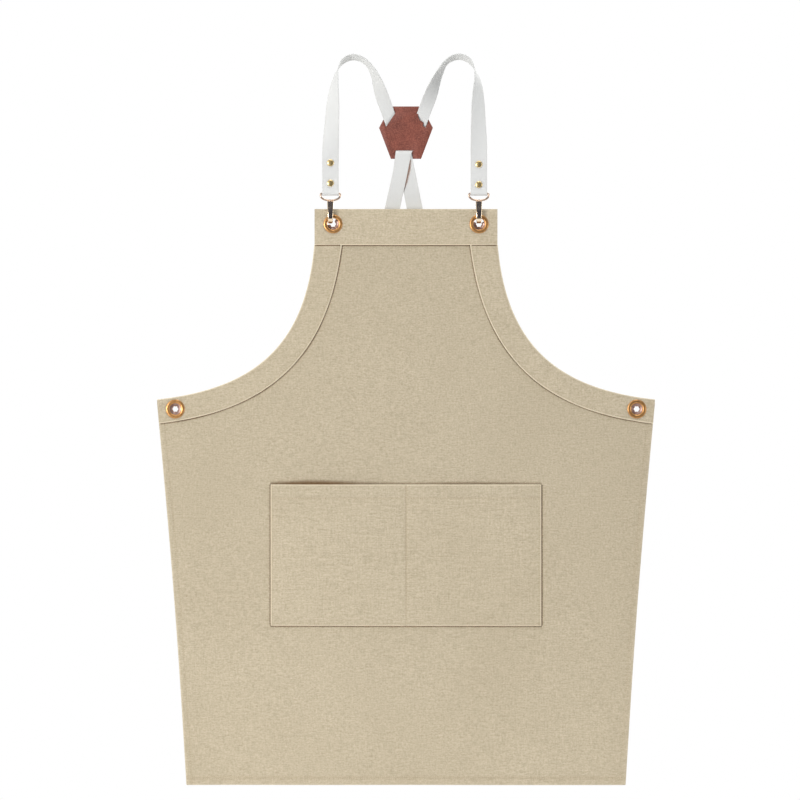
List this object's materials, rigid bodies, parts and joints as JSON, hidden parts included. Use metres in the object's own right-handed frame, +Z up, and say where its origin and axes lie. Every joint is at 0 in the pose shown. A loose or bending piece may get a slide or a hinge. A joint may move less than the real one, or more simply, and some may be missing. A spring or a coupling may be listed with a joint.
{
  "type": "cross-back bib apron",
  "caption": "Cross-back canvas bib apron with pocket, hung by webbing straps that cross in a leather patch and clip to eyelets with swivel snap hooks.",
  "frame": {"origin": "midway between the two strap arches, level with the pegs that carry them", "axes": "+Z up, the apron's front faces -Y, +X to the viewer's right"},
  "size_m": [0.697, 0.037, 1.024],
  "materials": {
    "canvas": "beige plain-weave canvas",
    "webbing": "off-white cotton webbing",
    "leather": "red-brown smooth leather, darker cut edge",
    "eyelet_metal": "antique copper-brass",
    "hook_metal": "polished pale gold plating",
    "rivet_brass": "polished brass",
    "spring_steel": "bright spring wire"
  },
  "bodies": {
    "straps": {"strap_left": "webbing", "strap_right": "webbing", "leather_patch": "leather", "rivet_cap_front_left_lower": "rivet_brass", "rivet_base_front_left_lower": "rivet_brass", "rivet_cap_front_left_upper": "rivet_brass", "rivet_base_front_left_upper": "rivet_brass", "rivet_cap_front_right_lower": "rivet_brass", "rivet_base_front_right_lower": "rivet_brass", "rivet_cap_front_right_upper": "rivet_brass", "rivet_base_front_right_upper": "rivet_brass", "rivet_cap_back_left_lower": "rivet_brass", "rivet_base_back_left_lower": "rivet_brass", "rivet_cap_back_left_upper": "rivet_brass", "rivet_base_back_left_upper": "rivet_brass", "rivet_cap_back_right_lower": "rivet_brass", "rivet_base_back_right_lower": "rivet_brass", "rivet_cap_back_right_upper": "rivet_brass", "rivet_base_back_right_upper": "rivet_brass"},
    "apron": {"apron_panel": "canvas", "bib_band": "canvas", "armhole_facing_left": "canvas", "armhole_facing_right": "canvas", "pocket": "canvas", "eyelet_bib_left": "eyelet_metal", "eyelet_washer_bib_left": "eyelet_metal", "eyelet_bib_right": "eyelet_metal", "eyelet_washer_bib_right": "eyelet_metal", "eyelet_waist_left": "eyelet_metal", "eyelet_washer_waist_left": "eyelet_metal", "eyelet_waist_right": "eyelet_metal", "eyelet_washer_waist_right": "eyelet_metal"},
    "loop_front_left": {"loop_front_left": "hook_metal"},
    "snap_hook_front_left": {"hook_front_left": "hook_metal", "gate_pin_front_left": "hook_metal", "gate_spring_front_left": "spring_steel"},
    "gate_front_left": {"gate_front_left": "hook_metal"},
    "loop_front_right": {"loop_front_right": "hook_metal"},
    "snap_hook_front_right": {"hook_front_right": "hook_metal", "gate_pin_front_right": "hook_metal", "gate_spring_front_right": "spring_steel"},
    "gate_front_right": {"gate_front_right": "hook_metal"},
    "loop_back_left": {"loop_back_left": "hook_metal"},
    "snap_hook_back_left": {"hook_back_left": "hook_metal", "gate_pin_back_left": "hook_metal", "gate_spring_back_left": "spring_steel"},
    "gate_back_left": {"gate_back_left": "hook_metal"},
    "loop_back_right": {"loop_back_right": "hook_metal"},
    "snap_hook_back_right": {"hook_back_right": "hook_metal", "gate_pin_back_right": "hook_metal", "gate_spring_back_right": "spring_steel"},
    "gate_back_right": {"gate_back_right": "hook_metal"}
  },
  "joints": [
    {"name": "bib_swing", "type": "hinge", "parent": "straps", "child": "apron", "pos_m": [0, 0, -0.1884], "axis": [1, 0, 0], "range_deg": [-75, 0]},
    {"name": "loop_tilt_front_left", "type": "hinge", "parent": "straps", "child": "loop_front_left", "pos_m": [-0.1058, 0, -0.1884], "axis": [1, 0, 0], "range_deg": [-75, 0]},
    {"name": "hook_swivel_front_left", "type": "hinge", "parent": "loop_front_left", "child": "snap_hook_front_left", "pos_m": [-0.1058, 0, -0.2029], "axis": [0, 0, 1], "range_deg": [-8, 4]},
    {"name": "gate_open_front_left", "type": "hinge", "parent": "snap_hook_front_left", "child": "gate_front_left", "pos_m": [-0.1058, 0.0064, -0.2091], "axis": [-1, 0, 0], "range_deg": [0, 12], "stiffness_Nm_per_rad": 0.02, "springref_deg": -17.19, "deforming": ["gate_spring_front_left"]},
    {"name": "loop_tilt_front_right", "type": "hinge", "parent": "straps", "child": "loop_front_right", "pos_m": [0.102, 0, -0.1884], "axis": [1, 0, 0], "range_deg": [-75, 0]},
    {"name": "hook_swivel_front_right", "type": "hinge", "parent": "loop_front_right", "child": "snap_hook_front_right", "pos_m": [0.102, 0, -0.2029], "axis": [0, 0, 1], "range_deg": [-12, 12]},
    {"name": "gate_open_front_right", "type": "hinge", "parent": "snap_hook_front_right", "child": "gate_front_right", "pos_m": [0.102, 0.0064, -0.2091], "axis": [-1, 0, 0], "range_deg": [0, 12], "stiffness_Nm_per_rad": 0.02, "springref_deg": -17.19, "deforming": ["gate_spring_front_right"]},
    {"name": "loop_tilt_back_left", "type": "hinge", "parent": "straps", "child": "loop_back_left", "pos_m": [-0.063, 0.01715, -0.64], "axis": [1, 0, 0], "range_deg": [0, 75]},
    {"name": "hook_swivel_back_left", "type": "hinge", "parent": "loop_back_left", "child": "snap_hook_back_left", "pos_m": [-0.063, 0.01715, -0.6545], "axis": [0, 0, 1], "continuous": true},
    {"name": "gate_open_back_left", "type": "hinge", "parent": "snap_hook_back_left", "child": "gate_back_left", "pos_m": [-0.0694, 0.01715, -0.6607], "axis": [0, -1, 0], "range_deg": [0, 26], "stiffness_Nm_per_rad": 0.02, "springref_deg": -17.19, "deforming": ["gate_spring_back_left"]},
    {"name": "loop_tilt_back_right", "type": "hinge", "parent": "straps", "child": "loop_back_right", "pos_m": [0.059, 0.01885, -0.64], "axis": [1, 0, 0], "range_deg": [0, 75]},
    {"name": "hook_swivel_back_right", "type": "hinge", "parent": "loop_back_right", "child": "snap_hook_back_right", "pos_m": [0.059, 0.01885, -0.6545], "axis": [0, 0, 1], "continuous": true},
    {"name": "gate_open_back_right", "type": "hinge", "parent": "snap_hook_back_right", "child": "gate_back_right", "pos_m": [0.0526, 0.01885, -0.6607], "axis": [0, -1, 0], "range_deg": [0, 26], "stiffness_Nm_per_rad": 0.02, "springref_deg": -17.19, "deforming": ["gate_spring_back_right"]}
  ],
  "couplings": [
    {"joint": "loop_tilt_front_left", "follows": "bib_swing", "ratio": 1},
    {"joint": "loop_tilt_front_right", "follows": "bib_swing", "ratio": 1}
  ]
}
